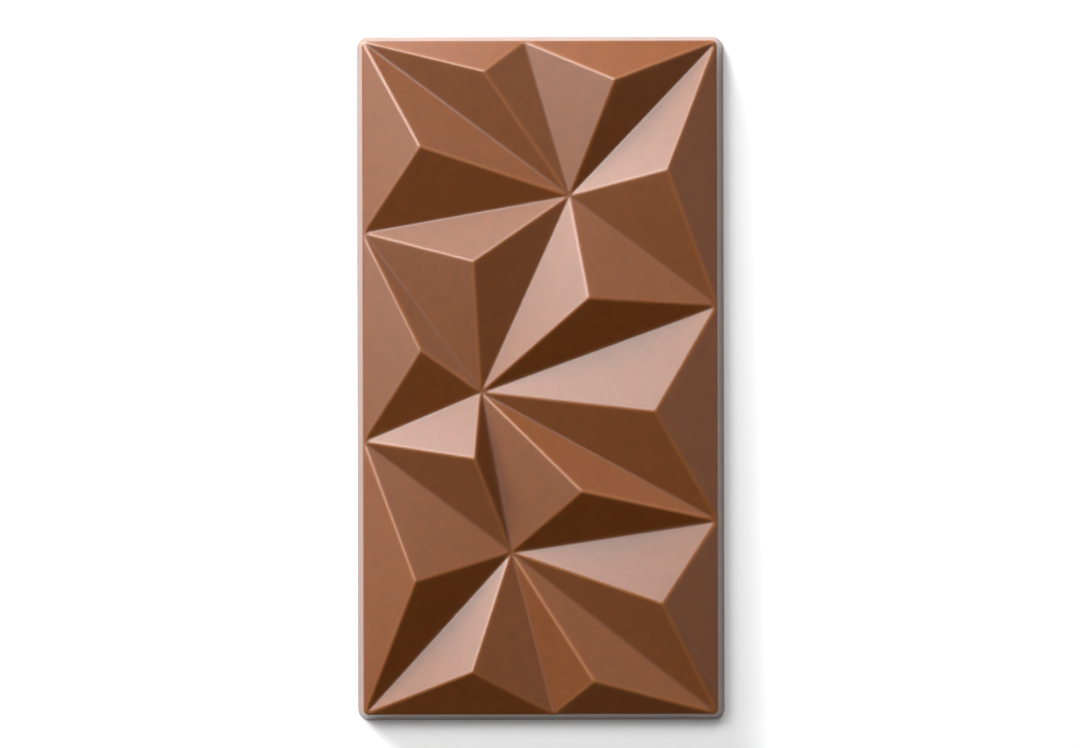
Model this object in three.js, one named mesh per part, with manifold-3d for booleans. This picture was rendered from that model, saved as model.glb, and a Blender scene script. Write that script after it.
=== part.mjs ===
// A moulded milk chocolate bar, lying on its flat back with its relief upwards.
// Lengths are in millimetres. X runs across the bar, Y along it and Z up, from the middle of the back.
//
// The bar was cast in one cavity, so it is one solid: a slab with drafted sides, and on it fourteen
// three-sided pyramids whose bases share their edges and cover the whole top. Where two bases meet there
// is a valley at slab height, and every edge that the pyramids hold up is rounded by the mould's polish.

import * as THREE from 'three';
import { ConvexGeometry } from 'three/addons/geometries/ConvexGeometry.js';
import { mergeVertices } from 'three/addons/utils/BufferGeometryUtils.js';
import Module from 'manifold-3d';

// The slab.
const BAR_LENGTH = 150;
const BAR_WIDTH = 80.5;
const SLAB_HEIGHT = 5.5;
const CORNER_RADIUS = 2.5;
const CORNER_TAPER = 0.7;
const FOOT_BEVEL = 0.2;
const WALL_DRAFT = THREE.MathUtils.degToRad(17.5);
const TOP_EDGE_RADIUS = 0.5;
const TOP_EDGE_STEPS = 3;
const CORNER_STEPS = 5;

// The relief.
const RIDGE_RADIUS = 1.2;
const RIDGE_STEPS = 4;
const SKIRT_DEPTH = 1.6;
const VALLEY_SINK = 0.15;

// The mould's shoulder is steeper than any facet that runs out at the bar's edge, and higher than any peak.
const SHOULDER_SLOPE = THREE.MathUtils.degToRad(40);
const SHOULDER_RISE = 6.5;

// The side wall leans in from the foot to a rounded top edge, where the relief begins.
const WALL_SLOPE = Math.PI / 2 - WALL_DRAFT;
const TOP_EDGE_RUN = TOP_EDGE_RADIUS * (Math.sin(WALL_SLOPE) - Math.sin(SHOULDER_SLOPE));
const TOP_EDGE_RISE = TOP_EDGE_RADIUS * (Math.cos(SHOULDER_SLOPE) - Math.cos(WALL_SLOPE));
const WALL_RISE = SLAB_HEIGHT - TOP_EDGE_RISE - FOOT_BEVEL;
const WALL_RUN = WALL_RISE * Math.tan(WALL_DRAFT);
const EDGE_INSET = WALL_RUN + TOP_EDGE_RUN;
const FIELD_X = BAR_WIDTH / 2 - EDGE_INSET;
const FIELD_Y = BAR_LENGTH / 2 - EDGE_INSET;

// The low points, at slab height: the relief's four corners, six points along its edges and three hubs.
const LOW = {
  topLeft: [-FIELD_X, FIELD_Y],
  top: [-3.4, FIELD_Y],
  topRight: [FIELD_X, FIELD_Y],
  leftUpper: [-FIELD_X, 31.6],
  leftLower: [-FIELD_X, -13.8],
  rightUpper: [FIELD_X, 15.7],
  rightLower: [FIELD_X, -31.1],
  bottomLeft: [-FIELD_X, -FIELD_Y],
  bottom: [2.7, -FIELD_Y],
  bottomRight: [FIELD_X, -FIELD_Y],
  hubUpper: [6.4, 39.6],
  hubMiddle: [-12.9, -3.1],
  hubLower: [-6.4, -37.9],
};

// Each pyramid: where its peak stands, how high above the valleys, and the three low points of its base.
const PYRAMIDS = [
  { peak: [-12.0, 66.3], height: 3.4, base: ['topLeft', 'top', 'hubUpper'] },
  { peak: [16.4, 64.3], height: 4.6, base: ['top', 'topRight', 'hubUpper'] },
  { peak: [-25.8, 49.9], height: 4.5, base: ['topLeft', 'hubUpper', 'leftUpper'] },
  { peak: [27.6, 44.8], height: 4.3, base: ['topRight', 'rightUpper', 'hubUpper'] },
  { peak: [-14.3, 25.1], height: 4.0, base: ['leftUpper', 'hubUpper', 'hubMiddle'] },
  { peak: [10.6, 17.1], height: 4.9, base: ['hubUpper', 'rightUpper', 'hubMiddle'] },
  { peak: [-25.7, 5.9], height: 3.6, base: ['leftUpper', 'hubMiddle', 'leftLower'] },
  { peak: [24.9, -7.4], height: 4.6, base: ['rightUpper', 'rightLower', 'hubMiddle'] },
  { peak: [-14.0, -17.5], height: 4.6, base: ['leftLower', 'hubMiddle', 'hubLower'] },
  { peak: [9.1, -24.6], height: 5.3, base: ['hubMiddle', 'rightLower', 'hubLower'] },
  { peak: [-26.9, -44.0], height: 5.3, base: ['leftLower', 'hubLower', 'bottomLeft'] },
  { peak: [26.4, -48.9], height: 4.7, base: ['rightLower', 'bottomRight', 'hubLower'] },
  { peak: [-14.7, -63.6], height: 4.7, base: ['bottomLeft', 'hubLower', 'bottom'] },
  { peak: [11.6, -65.6], height: 4.7, base: ['bottom', 'hubLower', 'bottomRight'] },
];

const milkChocolate = new THREE.MeshStandardMaterial({ color: 0x8a5638, roughness: 0.42, metalness: 0 });

// Points of a rounded rectangle, a given distance inside the outline. Its corners tighten as it shrinks.
function outlineAt(inset, z) {
  const radius = Math.max(CORNER_RADIUS - CORNER_TAPER * inset, 0);
  const centreX = BAR_WIDTH / 2 - inset - radius;
  const centreY = BAR_LENGTH / 2 - inset - radius;
  const points = [];
  for (const [signX, signY] of [[1, 1], [-1, 1], [-1, -1], [1, -1]]) {
    for (let step = 0; step <= CORNER_STEPS; step += 1) {
      const angle = (step / CORNER_STEPS) * (Math.PI / 2);
      const x = centreX + radius * Math.cos(angle);
      const y = centreY + radius * Math.sin(angle);
      points.push(new THREE.Vector3(signX * x, signY * y, z));
    }
  }
  return points;
}

// The side of the bar from the foot to the relief, as rounded rectangles stacked on each other.
function wallOutlines() {
  const points = [...outlineAt(FOOT_BEVEL, 0), ...outlineAt(0, FOOT_BEVEL)];
  for (let step = 0; step <= TOP_EDGE_STEPS; step += 1) {
    const slope = THREE.MathUtils.lerp(WALL_SLOPE, SHOULDER_SLOPE, step / TOP_EDGE_STEPS);
    const inset = EDGE_INSET - TOP_EDGE_RADIUS * (Math.sin(slope) - Math.sin(SHOULDER_SLOPE));
    const z = SLAB_HEIGHT - TOP_EDGE_RADIUS * (Math.cos(SHOULDER_SLOPE) - Math.cos(slope));
    points.push(...outlineAt(inset, z));
  }
  return points;
}

// The space inside the mould: the wall, and above it the shoulder that holds the whole relief.
function mouldSpace() {
  const shoulderRun = SHOULDER_RISE / Math.tan(SHOULDER_SLOPE);
  const shoulder = outlineAt(EDGE_INSET + shoulderRun, SLAB_HEIGHT + SHOULDER_RISE);
  return new ConvexGeometry([...wallOutlines(), ...shoulder]);
}

// The slab stops just under the valleys, so that each valley is where two facets cross.
function slab() {
  const height = SLAB_HEIGHT - VALLEY_SINK;
  const geometry = new THREE.BoxGeometry(BAR_WIDTH + 2, BAR_LENGTH + 2, height);
  return geometry.translate(0, 0, height / 2);
}

// Directions that share out the corner between three facets, as a triangular grid on a sphere.
function cornerDirections(normals) {
  const directions = [];
  for (let i = 0; i <= RIDGE_STEPS; i += 1) {
    for (let j = 0; j <= RIDGE_STEPS - i; j += 1) {
      const direction = new THREE.Vector3();
      direction.addScaledVector(normals[0], i);
      direction.addScaledVector(normals[1], j);
      direction.addScaledVector(normals[2], RIDGE_STEPS - i - j);
      directions.push(direction.normalize());
    }
  }
  return directions;
}

// Directions from one facet's normal to the next one's, across the ridge between them.
function ridgeDirections(from, to) {
  const directions = [];
  for (let step = 0; step <= RIDGE_STEPS; step += 1) {
    directions.push(from.clone().lerp(to, step / RIDGE_STEPS).normalize());
  }
  return directions;
}

// A pyramid with flat facets and rounded ridges, as the hull of a ball that slides down inside them.
// Its skirt goes on below the valleys, into the slab.
function roundedPyramid(corners, peak) {
  const normals = corners.map((corner, i) => {
    const facet = new THREE.Triangle(corner, corners[(i + 1) % corners.length], peak);
    return facet.getNormal(new THREE.Vector3());
  });
  const [a, b, c] = normals;
  const facing = new THREE.Matrix3().set(a.x, a.y, a.z, b.x, b.y, b.z, c.x, c.y, c.z);
  const depth = new THREE.Vector3(1, 1, 1).applyMatrix3(facing.invert());
  const top = peak.clone().addScaledVector(depth, -RIDGE_RADIUS);
  const points = cornerDirections(normals).map((way) => top.clone().addScaledVector(way, RIDGE_RADIUS));
  corners.forEach((corner, i) => {
    const slide = (top.z - (SLAB_HEIGHT - SKIRT_DEPTH)) / (peak.z - corner.z);
    const bottom = top.clone().addScaledVector(corner.clone().sub(peak), slide);
    const previous = normals[(i + normals.length - 1) % normals.length];
    for (const direction of ridgeDirections(previous, normals[i])) {
      points.push(bottom.clone().addScaledVector(direction, RIDGE_RADIUS));
    }
  });
  return new ConvexGeometry(points);
}

// The base's corners in anticlockwise order, seen from above.
function baseCorners(names) {
  const corners = names.map((name) => new THREE.Vector3(...LOW[name], SLAB_HEIGHT));
  const turn = new THREE.Vector3().crossVectors(
    corners[1].clone().sub(corners[0]),
    corners[2].clone().sub(corners[0]),
  );
  return turn.z > 0 ? corners : corners.reverse();
}

const wasm = await Module();
wasm.setup();

// A closed three.js geometry as a solid that can be joined and cut.
function solidFrom(geometry) {
  const bare = geometry.clone();
  bare.deleteAttribute('normal');
  bare.deleteAttribute('uv');
  const merged = mergeVertices(bare, 1e-5);
  return new wasm.Manifold(new wasm.Mesh({
    numProp: 3,
    vertProperties: new Float32Array(merged.attributes.position.array),
    triVerts: new Uint32Array(merged.index.array),
  }));
}

// A joined solid as a three.js geometry again.
function geometryFrom(solid) {
  const mesh = solid.getMesh();
  const geometry = new THREE.BufferGeometry();
  geometry.setAttribute('position', new THREE.BufferAttribute(mesh.vertProperties, 3));
  geometry.setIndex(new THREE.BufferAttribute(mesh.triVerts, 1));
  geometry.computeVertexNormals();
  return geometry;
}

function chocolateBar() {
  let relief = solidFrom(slab());
  for (const { peak, height, base } of PYRAMIDS) {
    const top = new THREE.Vector3(...peak, SLAB_HEIGHT + height);
    relief = relief.add(solidFrom(roundedPyramid(baseCorners(base), top)));
  }
  const bar = new THREE.Mesh(geometryFrom(relief.intersect(solidFrom(mouldSpace()))), milkChocolate);
  bar.name = 'chocolate_bar';
  return bar;
}

const part = new THREE.Group();
part.add(chocolateBar());

export default part;
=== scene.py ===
"""A moulded milk chocolate bar on a white table, seen from straight above.

The bar was cast in one cavity and turned out: a slab with drafted sides, and on it a relief of fourteen
rounded pyramids. Shapes are worked out in millimetres, like a mould drawing, and scaled to metres at the end.
"""

import logging
import math
from dataclasses import dataclass, field

import bmesh
import bpy
import numpy as np
from mathutils import Euler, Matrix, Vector


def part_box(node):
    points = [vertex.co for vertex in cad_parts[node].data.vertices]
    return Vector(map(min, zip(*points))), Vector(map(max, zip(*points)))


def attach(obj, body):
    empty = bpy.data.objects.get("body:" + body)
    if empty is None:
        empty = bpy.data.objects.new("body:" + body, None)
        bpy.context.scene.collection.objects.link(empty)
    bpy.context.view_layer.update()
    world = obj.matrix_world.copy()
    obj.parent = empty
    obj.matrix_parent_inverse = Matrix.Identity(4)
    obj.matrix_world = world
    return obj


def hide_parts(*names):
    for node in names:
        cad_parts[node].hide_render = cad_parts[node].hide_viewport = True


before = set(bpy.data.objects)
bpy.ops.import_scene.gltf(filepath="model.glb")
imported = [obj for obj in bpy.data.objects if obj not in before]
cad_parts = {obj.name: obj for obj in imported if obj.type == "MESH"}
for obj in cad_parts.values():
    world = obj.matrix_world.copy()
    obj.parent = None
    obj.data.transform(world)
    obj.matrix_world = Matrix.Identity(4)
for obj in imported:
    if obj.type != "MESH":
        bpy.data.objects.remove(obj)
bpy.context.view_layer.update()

LOG = logging.getLogger("chocolate_bar")
MM = 0.001

# Two values at each vertex, read by the finish: 1 on the side walls, where it paints shade, and how
# strongly the surface bends, which sets the painted highlights on ridges and in valleys.
WALL = "wall"
BEND = "bend"

# A mix node has sockets for numbers, vectors and colours. These are the ones for colours.
MIX_FIRST = 6
MIX_SECOND = 7
MIX_RESULT = 2


def linear(hex_colour: str) -> tuple[float, float, float, float]:
    """Turns an sRGB hex colour into Blender's linear colour.

    Args:
        hex_colour: six hex digits, such as "8a5638".

    Returns:
        Linear red, green and blue, and an alpha of 1.
    """
    channels = [int(hex_colour[i:i + 2], 16) / 255 for i in (0, 2, 4)]
    light = [c / 12.92 if c <= 0.04045 else ((c + 0.055) / 1.055) ** 2.4 for c in channels]
    return (*light, 1.0)


def add_node(tree: bpy.types.NodeTree, kind: str, settings: dict[str, object] | None = None,
             links: dict[str, bpy.types.NodeSocket] | None = None) -> bpy.types.Node:
    """Adds a shader node, sets its values and links its inputs.

    Args:
        tree: the node tree to add to.
        kind: the node's type name.
        settings: values by input name, or by property name where no input has that name.
        links: output sockets by the name of the input they feed.

    Returns:
        The new node.
    """
    node = tree.nodes.new(kind)
    for name, value in (settings or {}).items():
        if name in node.inputs:
            node.inputs[name].default_value = value
        else:
            setattr(node, name, value)
    for name, socket in (links or {}).items():
        tree.links.new(socket, node.inputs[name])
    return node


def mix_colours(tree: bpy.types.NodeTree, share: bpy.types.NodeSocket,
                first: bpy.types.NodeSocket | tuple[float, ...],
                second: tuple[float, ...]) -> bpy.types.NodeSocket:
    """Adds a shader node that mixes two colours.

    Args:
        tree: the node tree to add to.
        share: how much of the second colour shows.
        first: the first colour, as a value or as a socket.
        second: the second colour.

    Returns:
        The mixed colour.
    """
    node = add_node(tree, "ShaderNodeMix", {"data_type": "RGBA"}, {"Factor": share})
    if isinstance(first, bpy.types.NodeSocket):
        tree.links.new(first, node.inputs[MIX_FIRST])
    else:
        node.inputs[MIX_FIRST].default_value = first
    node.inputs[MIX_SECOND].default_value = second
    return node.outputs[MIX_RESULT]


def empty_material(name: str) -> bpy.types.Material:
    """Makes a material that has no nodes yet.

    Args:
        name: the material's name.

    Returns:
        The material.
    """
    material = bpy.data.materials.new(name)
    material.use_nodes = True
    material.node_tree.nodes.clear()
    return material


def add_object(name: str, data: bpy.types.ID) -> bpy.types.Object:
    """Puts a new object into the scene.

    Args:
        name: the object's name.
        data: its mesh, light or camera.

    Returns:
        The object.
    """
    item = bpy.data.objects.new(name, data)
    bpy.context.scene.collection.objects.link(item)
    return item


@dataclass(frozen=True)
class MilkChocolate:
    """Tempered milk chocolate, by default as a polished polycarbonate mould leaves it.

    Well tempered cocoa butter copies the mould, so the skin is even and satin: broad soft reflections over
    a warm brown. The mould's polishing gives it a very fine grain, and the milk solids a faint mottle.
    Light goes a millimetre or so into the chocolate, red the furthest, so dark facets glow along their edges.
    Ridges are painted a lighter brown and valleys a paler brown, as painted highlights on the rounded
    creases. The side walls are painted a deeper brown, as painted shade, under a film of cocoa butter.
    """

    name: str = "moulded_milk_chocolate"
    light_brown: str = "7f4619"
    deep_brown: str = "693b16"
    # Painted highlights: a lighter brown mixed in on ridges and a paler brown in valleys.
    ridge_highlight_brown: str = "865227"
    valley_highlight_brown: str = "764627"
    roughness: float = 0.32
    ior: float = 1.5
    specular_level: float = 0.73
    glow_mm: float = 1.4
    glow_spread: tuple[float, float, float] = (1.0, 0.4, 0.2)
    # Painted shade: the walls' base colour is multiplied by this, so they are darker than the facets.
    wall_painted_shade: float = 0.7
    wall_film: float = 0.3
    film_roughness: float = 0.3
    mottle_mm: float = 3.0
    mottle_detail: float = 5.0
    mottle_roughness: float = 0.65
    grain_mm: float = 0.4
    grain_detail: float = 2.0
    grain_roughness: float = 0.6
    grain_depth_mm: float = 0.015

    def colour(self, tree: bpy.types.NodeTree, place: bpy.types.NodeSocket) -> bpy.types.NodeSocket:
        """Mixes the brown: mottled all over, painted highlights on ridges and valleys, painted shade on the
        walls.

        Args:
            tree: the material's node tree.
            place: where on the bar a point is.

        Returns:
            The colour.
        """
        mottle = add_node(tree, "ShaderNodeTexNoise",
                          {"Scale": 1 / (self.mottle_mm * MM), "Detail": self.mottle_detail,
                           "Roughness": self.mottle_roughness},
                          {"Vector": place})
        bend = add_node(tree, "ShaderNodeAttribute", {"attribute_name": BEND}).outputs["Fac"]
        ridge = add_node(tree, "ShaderNodeMapRange", {"From Max": 1.0}, {"Value": bend})
        valley = add_node(tree, "ShaderNodeMapRange", {"From Max": -1.0}, {"Value": bend})
        wall = add_node(tree, "ShaderNodeAttribute", {"attribute_name": WALL}).outputs["Fac"]
        # Painted shade: darkens the colour on the walls.
        shade = add_node(tree, "ShaderNodeMapRange", {"To Min": 1.0, "To Max": self.wall_painted_shade},
                         {"Value": wall})
        brown = mix_colours(tree, mottle.outputs["Fac"], linear(self.deep_brown), linear(self.light_brown))
        # Painted highlights: lighter brown on the ridges, paler brown in the valleys.
        ridge_highlit = mix_colours(tree, ridge.outputs[0], brown, linear(self.ridge_highlight_brown))
        valley_highlit = mix_colours(tree, valley.outputs[0], ridge_highlit, linear(self.valley_highlight_brown))
        # Painted shade: the mixed brown is scaled down on the walls.
        shaded = add_node(tree, "ShaderNodeVectorMath", {"operation": "SCALE"}, {"Scale": shade.outputs[0]})
        tree.links.new(valley_highlit, shaded.inputs[0])
        return shaded.outputs[0]

    def material(self) -> bpy.types.Material:
        """Builds the finish from nodes.

        Returns:
            The material.
        """
        material = empty_material(self.name)
        tree = material.node_tree
        place = add_node(tree, "ShaderNodeTexCoord").outputs["Object"]
        grain = add_node(tree, "ShaderNodeTexNoise",
                         {"Scale": 1 / (self.grain_mm * MM), "Detail": self.grain_detail,
                          "Roughness": self.grain_roughness},
                         {"Vector": place})
        bump = add_node(tree, "ShaderNodeBump",
                        {"Strength": 1.0, "Distance": self.grain_depth_mm * MM},
                        {"Height": grain.outputs["Fac"]})
        wall = add_node(tree, "ShaderNodeAttribute", {"attribute_name": WALL}).outputs["Fac"]
        film = add_node(tree, "ShaderNodeMapRange", {"To Max": self.wall_film}, {"Value": wall})
        shader = add_node(tree, "ShaderNodeBsdfPrincipled",
                          {"Roughness": self.roughness, "IOR": self.ior,
                           "Specular IOR Level": self.specular_level, "Subsurface Weight": 1.0,
                           "Subsurface Radius": self.glow_spread, "Subsurface Scale": self.glow_mm * MM,
                           "Coat Roughness": self.film_roughness},
                          {"Base Color": self.colour(tree, place), "Normal": bump.outputs["Normal"],
                           "Coat Weight": film.outputs[0]})
        add_node(tree, "ShaderNodeOutputMaterial", links={"Surface": shader.outputs["BSDF"]})
        return material


@dataclass(frozen=True)
class SeamlessPaper:
    """Matt white paper over a dimmed light table.

    It photographs as pure white but for the bar's soft shadow, which the light from below keeps pale.
    """

    name: str = "backlit_white_paper"
    white: str = "f4f4f4"
    roughness: float = 0.9
    specular_level: float = 0.2
    glow: float = 0.05

    def material(self) -> bpy.types.Material:
        """Builds the finish from nodes.

        Returns:
            The material.
        """
        material = empty_material(self.name)
        tree = material.node_tree
        shader = add_node(tree, "ShaderNodeBsdfPrincipled",
                          {"Base Color": linear(self.white), "Roughness": self.roughness,
                           "Specular IOR Level": self.specular_level,
                           "Emission Color": linear(self.white), "Emission Strength": self.glow})
        add_node(tree, "ShaderNodeOutputMaterial", links={"Surface": shader.outputs["BSDF"]})
        return material


@dataclass(frozen=True)
class Pyramid:
    """One cell of the relief: where its peak stands, the low points at its base's corners and its height."""

    peak: tuple[float, float]
    base: tuple[str, str, str]
    height: float


@dataclass(frozen=True)
class Relief:
    """The mould's engraving: pyramids that share their base edges, polished until no edge is sharp.

    The polish is drawn as what it does: each height is the mean of the sharp relief over a small disc, so
    facets stay flat, ridges and valleys turn round and hubs become small shallow hollows. The disc grows
    towards the border, where the polishing tool turned, so ridges that meet there join in a soft bow.
    """

    field_x: float
    field_y: float
    base_height: float
    # The disc's radius, and how many places on it are averaged.
    softness: float = 0.5
    disc_rings: int = 6
    disc_spokes: int = 24
    # How far beside a crease the mesh's rows run, and how near it a face has to be to get them. Both are
    # shares of the disc's radius.
    crease_rows: tuple[float, ...] = (0.25, 0.5, 0.75, 1.0, 1.55)
    crease_reach: float = 1.5
    # How far from the border the disc starts to grow, and by which share it has grown at the border.
    border: float = 1.5
    border_growth: float = 0.6
    # How far a wider polish moves a place that bends fully.
    strong_bend: float = 0.08

    def low_points(self) -> dict[str, tuple[float, float]]:
        """Gives the low points of the relief: its corners, six points along its edges and three hubs.

        Returns:
            x and y of each, by its name.
        """
        x, y = self.field_x, self.field_y
        return {
            "top_left": (-x, y), "top": (-3.4, y), "top_right": (x, y),
            "left_upper": (-x, 31.6), "left_lower": (-x, -13.8),
            "right_upper": (x, 15.7), "right_lower": (x, -31.1),
            "bottom_left": (-x, -y), "bottom": (2.7, -y), "bottom_right": (x, -y),
            "hub_upper": (6.4, 39.6), "hub_middle": (-12.9, -3.1), "hub_lower": (-6.4, -37.9),
        }

    def pyramids(self) -> tuple[Pyramid, ...]:
        """Lists the fourteen pyramids.

        Returns:
            The pyramids, from the top of the bar to its bottom.
        """
        return (
            Pyramid((-12.0, 66.3), ("top_left", "top", "hub_upper"), 3.4),
            Pyramid((16.4, 64.3), ("top", "top_right", "hub_upper"), 4.6),
            Pyramid((-25.8, 49.9), ("top_left", "hub_upper", "left_upper"), 4.5),
            Pyramid((27.6, 44.8), ("top_right", "right_upper", "hub_upper"), 4.3),
            Pyramid((-14.3, 25.1), ("left_upper", "hub_upper", "hub_middle"), 4.0),
            Pyramid((10.6, 17.1), ("hub_upper", "right_upper", "hub_middle"), 4.9),
            Pyramid((-25.7, 5.9), ("left_upper", "hub_middle", "left_lower"), 3.6),
            Pyramid((24.9, -7.4), ("right_upper", "right_lower", "hub_middle"), 4.6),
            Pyramid((-14.0, -17.5), ("left_lower", "hub_middle", "hub_lower"), 4.6),
            Pyramid((9.1, -24.6), ("hub_middle", "right_lower", "hub_lower"), 5.3),
            Pyramid((-26.9, -44.0), ("left_lower", "hub_lower", "bottom_left"), 5.3),
            Pyramid((26.4, -48.9), ("right_lower", "bottom_right", "hub_lower"), 4.7),
            Pyramid((-14.7, -63.6), ("bottom_left", "hub_lower", "bottom"), 4.7),
            Pyramid((11.6, -65.6), ("bottom", "hub_lower", "bottom_right"), 4.7),
        )

    def creases(self) -> list[tuple[Vector, Vector]]:
        """Finds every ridge and valley, each once.

        Returns:
            The two ends of each, on the plan.
        """
        low = self.low_points()
        lines = {}
        for number, pyramid in enumerate(self.pyramids()):
            for i, name in enumerate(pyramid.base):
                after = pyramid.base[(i + 1) % 3]
                lines[(name, number)] = (Vector(low[name]), Vector(pyramid.peak))
                lines[tuple(sorted((name, after)))] = (Vector(low[name]), Vector(low[after]))
        return list(lines.values())

    def facet_planes(self) -> np.ndarray:
        """Works out the facets' planes.

        Returns:
            For each pyramid and facet, the plane's slope along x, its slope along y and its height at 0, 0.
        """
        low = self.low_points()
        planes = []
        for pyramid in self.pyramids():
            peak = (*pyramid.peak, pyramid.height)
            for i in range(3):
                first, second = low[pyramid.base[i]], low[pyramid.base[(i + 1) % 3]]
                corners = np.array([(*first, 0.0), (*second, 0.0), peak])
                planes.append(np.linalg.solve(np.column_stack([corners[:, :2], np.ones(3)]), corners[:, 2]))
        return np.array(planes).reshape(-1, 3, 3)

    def heights(self, places: np.ndarray) -> np.ndarray:
        """Measures the polished relief.

        Args:
            places: x and y of each place.

        Returns:
            The height at each place. Outside the field the outer facets run on downwards.
        """
        gap = (np.array((self.field_x, self.field_y)) - np.abs(places)).min(axis=1)
        growth = 1 + self.border_growth * np.clip(1 - gap / self.border, 0, 1)
        return self.smoothed(places, self.softness * growth)

    def smoothed(self, places: np.ndarray, radii: np.ndarray) -> np.ndarray:
        """Averages the sharp relief over a small disc round each place.

        Args:
            places: x and y of each place.
            radii: how wide each place's disc is.

        Returns:
            The mean height over each disc.
        """
        planes = self.facet_planes()
        total = np.zeros(len(places))
        for ring in range(self.disc_rings):
            ring_radii = radii * math.sqrt((ring + 0.5) / self.disc_rings)
            for spoke in range(self.disc_spokes):
                turn = 2 * math.pi * (spoke + 0.5 * (ring % 2)) / self.disc_spokes
                step = np.outer(ring_radii, (math.cos(turn), math.sin(turn)))
                total += self.sharp_heights(planes, places + step)
        return total / (self.disc_rings * self.disc_spokes)

    def sharp_heights(self, planes: np.ndarray, places: np.ndarray) -> np.ndarray:
        """Measures the relief as it was before polishing.

        A pyramid is as high as its lowest facet, and the relief is as high as its highest pyramid.

        Args:
            planes: the facets' planes.
            places: x and y of each place.

        Returns:
            The height at each place.
        """
        cells = planes[:, :, :2] @ places.T + planes[:, :, 2:]
        return self.base_height + cells.min(axis=1).max(axis=0)

    def bends(self, places: np.ndarray) -> np.ndarray:
        """Measures how strongly the surface bends, from how far a wider polish would move it.

        Args:
            places: x and y of each place.

        Returns:
            Up to about 1 on ridges, down to about -1 in valleys, and 0 from the last row beside them.
        """
        radii = np.full(len(places), self.crease_rows[-1] * self.softness)
        sharp = self.sharp_heights(self.facet_planes(), places)
        share = (sharp - self.smoothed(places, radii)) / self.strong_bend
        return np.sign(share) * np.sqrt(np.abs(share))


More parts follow.
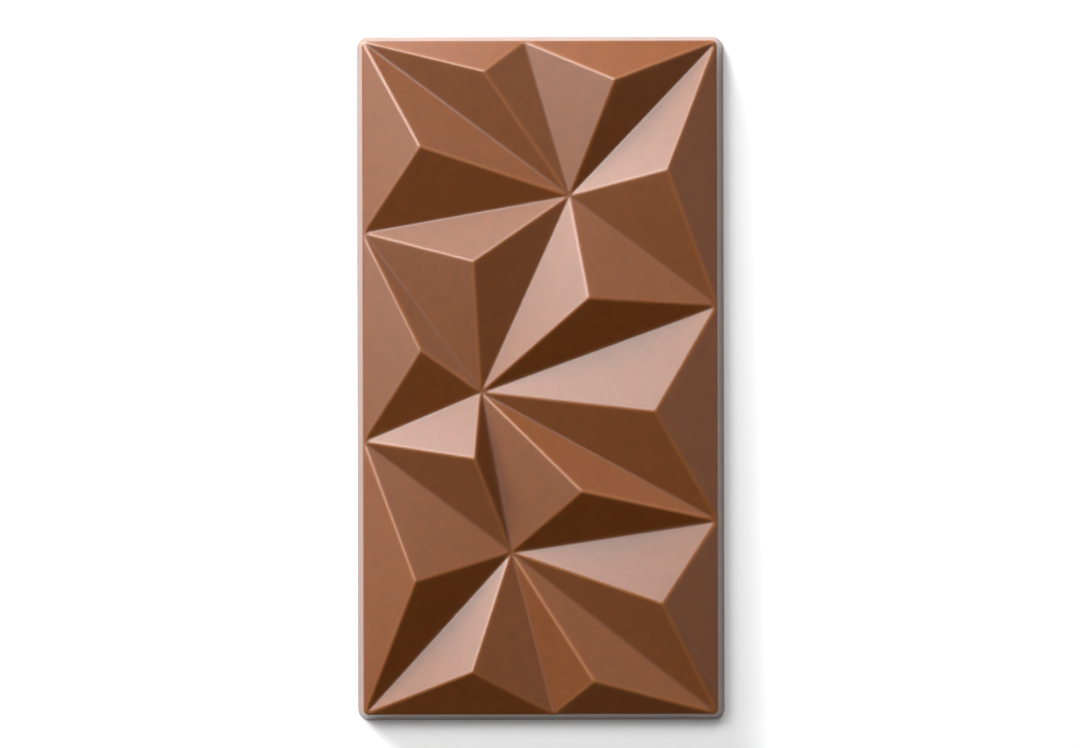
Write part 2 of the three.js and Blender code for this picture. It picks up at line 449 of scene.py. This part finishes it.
@dataclass
class ChocolateBar:
    """The bar, one solid: a slab with drafted walls and a rounded top edge, carrying the relief."""

    width: float
    length: float
    node: str = "chocolate_bar"
    slab_height: float = 5.5
    corner_radius: float = 2.5
    corner_taper: float = 0.7
    corner_steps: int = 12
    foot_bevel: float = 0.2
    # Where between the foot and the top edge two rings hold the wall flat.
    wall_shares: tuple[float, ...] = (0.03, 0.93)
    # How far inside the outline the relief's border lies, and how far inside it the rounded edge starts.
    edge_inset: float = 1.753
    edge_start: float = 1.545
    # The edge starts as steep as the wall and ends flush with the facets.
    edge_slope: float = math.radians(72.5)
    edge_radius: float = 0.5
    edge_steps: int = 7
    # Corners of the mesh nearer to each other than this are joined.
    snap: float = 0.02
    # Faces lower than this are the back's.
    back_height: float = 0.01
    relief: Relief = field(init=False)
    finish: MilkChocolate = field(default_factory=MilkChocolate)
    # The open side of the mould was scraped level and set in the air, so the back is matter and less even.
    back_finish: MilkChocolate = MilkChocolate(
        "scraped_milk_chocolate", roughness=0.5, specular_level=0.5, wall_painted_shade=1.0, wall_film=0.0,
        grain_mm=0.8, grain_depth_mm=0.04)

    def __post_init__(self) -> None:
        """Lays out the relief inside the rounded top edge."""
        self.relief = Relief(self.width / 2 - self.edge_inset, self.length / 2 - self.edge_inset,
                             self.slab_height)

    def outline(self, inset: float, drop: float = 0.0) -> list[Vector]:
        """Gives the points of a rounded rectangle inside the bar's outline.

        Args:
            inset: how far inside the outline it runs.
            drop: how far below height 0 it lies.

        Returns:
            The points, corner by corner.
        """
        radius = max(self.corner_radius - self.corner_taper * inset, 0.0)
        centre_x, centre_y = self.width / 2 - inset - radius, self.length / 2 - inset - radius
        points = []
        for quarter, (sign_x, sign_y) in enumerate(((1, 1), (-1, 1), (-1, -1), (1, -1))):
            for step in range(self.corner_steps + 1):
                angle = math.pi / 2 * (quarter + step / self.corner_steps)
                points.append(Vector((sign_x * centre_x + radius * math.cos(angle),
                                      sign_y * centre_y + radius * math.sin(angle), -drop)))
        return points

    def edge_rings(self) -> list[list[Vector]]:
        """Draws the rounded top edge, as far below height 0 as it falls below the facets.

        Returns:
            The rings, from the wall inwards.
        """
        rings = []
        for step in range(self.edge_steps + 1):
            slope = self.edge_slope * (1 - step / self.edge_steps)
            run = self.edge_radius * (math.sin(self.edge_slope) - math.sin(slope))
            rings.append(self.outline(self.edge_start + run, self.edge_radius * (1 - math.cos(slope))))
        return rings

    def wall_rings(self, top: list[Vector]) -> list[list[Vector]]:
        """Draws the wall below the top edge, from the back's edge upwards.

        Args:
            top: the lowest ring of the top edge.

        Returns:
            The rings, at their true heights.
        """
        crest = self.relief.heights(np.array([point.xy for point in top])) + top[0].z
        rings = [self.outline(self.foot_bevel), self.outline(0.0, -self.foot_bevel)]
        for share in self.wall_shares:
            ring = self.outline(self.edge_start * share)
            for point, height in zip(ring, crest):
                point.z = self.foot_bevel + (height - self.foot_bevel) * share
            rings.append(ring)
        return rings

    def shell(self) -> bmesh.types.BMesh:
        """Joins all rings to a closed shell, whose top is still the flat plan of the relief.

        Returns:
            The shell. The plan's faces have material index 1.
        """
        shell = bmesh.new()
        wall = shell.verts.layers.float.new(WALL)
        edges = self.edge_rings()
        walls = self.wall_rings(edges[0])
        loops = []
        for number, ring in enumerate(walls + edges):
            verts = [shell.verts.new(point) for point in ring]
            for vert in verts:
                vert[wall] = 1 - max(number - len(walls), 0) / self.edge_steps
            loops.append([shell.edges.new(pair) for pair in zip(verts, verts[1:] + verts[:1])])
        for number, (lower, upper) in enumerate(zip(loops, loops[1:])):
            for face in bmesh.ops.bridge_loops(shell, edges=lower + upper)["faces"]:
                face.material_index = int(number >= len(walls))
        back = bmesh.ops.contextual_create(shell, geom=loops[0])["faces"]
        bmesh.ops.contextual_create(shell, geom=loops[-1], mat_nr=1)
        LOG.info("shell: %d rings on a back of %d corners", len(loops), len(back[0].verts))
        return shell

    def cut(self, shell: bmesh.types.BMesh, faces: list[bmesh.types.BMFace], start: Vector, end: Vector,
            offset: float) -> list[bmesh.types.BMFace]:
        """Cuts faces along a line of the plan.

        Args:
            shell: the shell.
            faces: the faces to cut.
            start: one end of a crease.
            end: its other end.
            offset: how far to the left of the crease the cut runs.

        Returns:
            The faces after the cut.
        """
        left = Vector((start.y - end.y, end.x - start.x, 0.0)).normalized()
        geom = set(faces)
        for face in faces:
            geom.update(face.edges)
            geom.update(face.verts)
        cut = bmesh.ops.bisect_plane(shell, geom=list(geom), dist=self.snap,
                                     plane_co=start.to_3d() + left * offset, plane_no=left)
        return [item for item in cut["geom"] if isinstance(item, bmesh.types.BMFace)]

    def engrave(self, shell: bmesh.types.BMesh) -> None:
        """Cuts every ridge and valley into the plan, with rows beside each, and lifts it to the relief.

        Args:
            shell: the shell, changed in place.
        """
        creases = self.relief.creases()
        for start, end in creases:
            self.cut(shell, [face for face in shell.faces if face.material_index], start, end, 0.0)
        rows = [row * side * self.relief.softness for row in self.relief.crease_rows for side in (-1, 1)]
        reach = self.relief.crease_reach * self.relief.softness
        for start, end in creases:
            places = np.array([vert.co.xy for vert in shell.verts])
            along = np.array(end - start)
            share = np.clip((places - start) @ along / (along @ along), 0, 1)
            gaps = np.linalg.norm(places - start - share[:, None] * along, axis=1)
            verts = [vert for vert, gap in zip(shell.verts, gaps) if gap < reach]
            faces = {face for vert in verts for face in vert.link_faces if face.material_index}
            for row in rows:
                faces = self.cut(shell, list(faces), start, end, row)
        bmesh.ops.remove_doubles(shell, verts=shell.verts, dist=self.snap)
        bend = shell.verts.layers.float.new(BEND)
        raised = list({vert for face in shell.faces if face.material_index for vert in face.verts})
        places = np.array([vert.co.xy for vert in raised])
        for vert, height, bent in zip(raised, self.relief.heights(places), self.relief.bends(places)):
            vert.co.z += height
            vert[bend] = bent

    def build(self) -> bpy.types.Object:
        """Makes the whole bar and dresses it.

        Returns:
            The finished bar, in metres, at the origin.
        """
        shell = self.shell()
        self.engrave(shell)
        bmesh.ops.triangulate(shell, faces=[face for face in shell.faces if len(face.verts) > 4])
        bmesh.ops.recalc_face_normals(shell, faces=shell.faces)
        bmesh.ops.scale(shell, vec=(MM, MM, MM), verts=shell.verts)
        for face in shell.faces:
            face.smooth = True
            face.material_index = int(face.calc_center_median().z < self.back_height * MM)
        mesh = bpy.data.meshes.new("moulded_bar")
        shell.to_mesh(mesh)
        shell.free()
        mesh.materials.append(self.finish.material())
        mesh.materials.append(self.back_finish.material())
        bar = add_object("moulded_bar", mesh)
        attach(bar, "root")
        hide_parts(self.node)
        LOG.info("%s: %d faces", bar.name, len(mesh.polygons))
        return bar


@dataclass(frozen=True)
class SoftBox:
    """A square softbox: which way it stands from the bar, how far off and how big it is, and its light.

    Its azimuth runs from the bar's right towards its top end. Angles are in degrees and lengths in metres.
    """

    name: str
    azimuth: float
    elevation: float
    watts: float
    distance: float = 1.0
    size: float = 0.3
    colour: str = "ffffff"

    def place(self) -> bpy.types.Object:
        """Hangs the softbox and turns it to the bar.

        Returns:
            The light.
        """
        light = bpy.data.lights.new(self.name, "AREA")
        light.shape = "SQUARE"
        light.size = self.size
        light.energy = self.watts
        light.color = linear(self.colour)[:3]
        azimuth, elevation = math.radians(self.azimuth), math.radians(self.elevation)
        way = Vector((math.cos(azimuth) * math.cos(elevation), math.sin(azimuth) * math.cos(elevation),
                      math.sin(elevation)))
        lamp = add_object(self.name, light)
        lamp.location = way * self.distance
        lamp.rotation_euler = way.to_track_quat("Z", "Y").to_euler()
        return lamp


@dataclass
class Studio:
    """The white table, the lights round it and the camera above it."""

    # The picture, and how wide and where the bar lies in it.
    picture_width: int = 1080
    picture_height: int = 748
    bar_width_px: float = 366.35
    bar_width_mm: float = 80.5
    bar_centre_px: tuple[float, float] = (540.6, 378.15)
    # Where the camera hangs, from the middle of the bar's back, and how far it is turned.
    camera_height_mm: float = 550.0
    camera_x_mm: float = 7.0
    camera_y_mm: float = -8.0
    camera_roll: float = math.radians(-0.13)
    sensor_mm: float = 36.0
    table_m: float = 3.0
    table_cells: int = 8
    # The room is dark: all light comes from the softboxes and the paper.
    world_strength: float = 0.0
    paper: SeamlessPaper = field(default_factory=SeamlessPaper)
    softboxes: tuple[SoftBox, ...] = (
        SoftBox("low_key_back", 113.0, 16.0, 10.7),
        SoftBox("low_key_left", 135.0, 16.0, 14.0),
        SoftBox("low_left", 180.0, 28.0, 0.6),
        SoftBox("high_back", 90.0, 52.0, 1.9),
        SoftBox("high_key", 135.0, 52.0, 4.1),
        SoftBox("high_key_left", 158.0, 52.0, 0.9),
        SoftBox("top_back", 113.0, 64.0, 2.0),
        SoftBox("top_left", 180.0, 64.0, 0.6),
        SoftBox("fill_back", 45.0, 14.0, 0.6, size=0.5),
        SoftBox("fill_right", 0.0, 42.0, 0.5, size=0.5),
        SoftBox("fill_back_right", 45.0, 42.0, 0.4, size=0.5),
        SoftBox("fill_front", 225.0, 42.0, 0.2, size=0.5),
    )

    def lay_table(self) -> bpy.types.Object:
        """Lays the paper that the bar lies on.

        Returns:
            The sheet.
        """
        shape = bmesh.new()
        bmesh.ops.create_grid(shape, x_segments=self.table_cells, y_segments=self.table_cells,
                              size=self.table_m / 2)
        mesh = bpy.data.meshes.new("table")
        shape.to_mesh(mesh)
        shape.free()
        mesh.materials.append(self.paper.material())
        sheet = add_object("table", mesh)
        return sheet

    def place_camera(self) -> bpy.types.Object:
        """Hangs the camera over the bar, a little off its middle, with the frame shifted to suit.

        Returns:
            The camera.
        """
        pixels_per_mm = self.bar_width_px / self.bar_width_mm
        lens_px = pixels_per_mm * self.camera_height_mm
        camera = bpy.data.cameras.new("camera")
        camera.sensor_fit = "HORIZONTAL"
        camera.sensor_width = self.sensor_mm
        camera.lens = lens_px * self.sensor_mm / self.picture_width
        axis_x = self.bar_centre_px[0] + self.camera_x_mm * pixels_per_mm
        axis_y = self.bar_centre_px[1] - self.camera_y_mm * pixels_per_mm
        camera.shift_x = (self.picture_width / 2 - axis_x) / self.picture_width
        camera.shift_y = (axis_y - self.picture_height / 2) / self.picture_width
        holder = add_object("camera", camera)
        holder.location = Vector((self.camera_x_mm, self.camera_y_mm, self.camera_height_mm)) * MM
        holder.rotation_euler = Euler((0.0, 0.0, self.camera_roll))
        bpy.context.scene.camera = holder
        return holder

    def light_room(self) -> None:
        """Sets the room's own light and hangs the softboxes."""
        world = bpy.data.worlds.new("room")
        world.use_nodes = True
        world.node_tree.nodes["Background"].inputs["Strength"].default_value = self.world_strength
        bpy.context.scene.world = world
        for softbox in self.softboxes:
            softbox.place()

    def set_up(self) -> None:
        """Lays the table, hangs the lights and the camera, and keeps colours as they are."""
        self.lay_table()
        self.light_room()
        self.place_camera()
        bpy.context.scene.view_settings.view_transform = "Standard"
        LOG.info("studio: %d softboxes", len(self.softboxes))


def main() -> None:
    """Builds the bar and its studio."""
    logging.basicConfig(level=logging.INFO, format="%(name)s: %(message)s")
    low, high = (Vector(corner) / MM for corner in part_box("chocolate_bar"))
    ChocolateBar(width=high.x - low.x, length=high.y - low.y).build()
    Studio().set_up()


if __name__ == "__main__":
    main()
